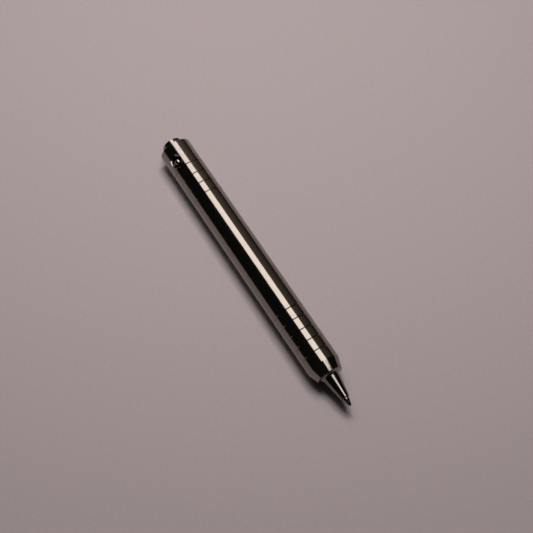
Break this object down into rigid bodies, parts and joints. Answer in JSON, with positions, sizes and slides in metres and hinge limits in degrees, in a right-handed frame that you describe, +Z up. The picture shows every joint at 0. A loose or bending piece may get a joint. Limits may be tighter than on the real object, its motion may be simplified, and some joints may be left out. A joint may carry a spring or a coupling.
{
  "type": "retractable pen",
  "caption": "Slim round metal pen with ringed barrel, pinned twist knob at the tail, slim nose cone and a refill point that draws back into it.",
  "frame": {"origin": "centre of the bounding box on the surface that the pen lies on", "axes": "+X along the pen toward its point, +Z up from the surface"},
  "size_m": [0.1248, 0.0126, 0.0126],
  "materials": {
    "barrel_steel": "polished with fine turning marks",
    "knob_steel": "polished with fine turning marks",
    "pin_steel": "polished",
    "nose_steel": "polished",
    "point_steel": "drawn",
    "ball_carbide": "polished",
    "spring_steel": "drawn wire",
    "cam_steel": "turned",
    "sleeve_bronze": "turned",
    "tube_brass": "drawn",
    "white_plastic": "moulded",
    "ring_rubber": "moulded",
    "ink": "paste"
  },
  "bodies": {
    "body": {"barrel": "barrel_steel", "nose_cone": "nose_steel", "nose_ring": "ring_rubber", "return_spring": "spring_steel", "guide_sleeve": "sleeve_bronze", "thrust_washer": "white_plastic", "lock_collar": "sleeve_bronze"},
    "twist": {"tail_knob": "knob_steel", "knob_pin": "pin_steel", "cam_tube": "cam_steel", "friction_ring": "ring_rubber"},
    "refill": {"follower": "cam_steel", "follower_pin": "pin_steel", "refill_plug": "white_plastic", "refill_tube": "tube_brass", "ink_float": "white_plastic", "ink_column": "ink", "refill_nose": "white_plastic", "refill_tip": "point_steel"},
    "ball": {"writing_ball": "ball_carbide"}
  },
  "joints": [
    {"name": "knob_twist", "type": "hinge", "parent": "body", "child": "twist", "pos_m": [-0.05, 0, 0.00632], "axis": [1, 0, 0], "range_deg": [0, 180]},
    {"name": "refill_slide", "type": "slide", "parent": "body", "child": "refill", "axis": [1, 0, 0], "range_m": [-0.005, 0], "deforming": ["return_spring"]},
    {"name": "ball_roll", "type": "hinge", "parent": "refill", "child": "ball", "pos_m": [0.06209, 0, 0.00632], "axis": [0, 1, 0], "continuous": true}
  ],
  "couplings": [
    {"joint": "refill_slide", "follows": "knob_twist", "m_per_rad": -0.00159}
  ]
}
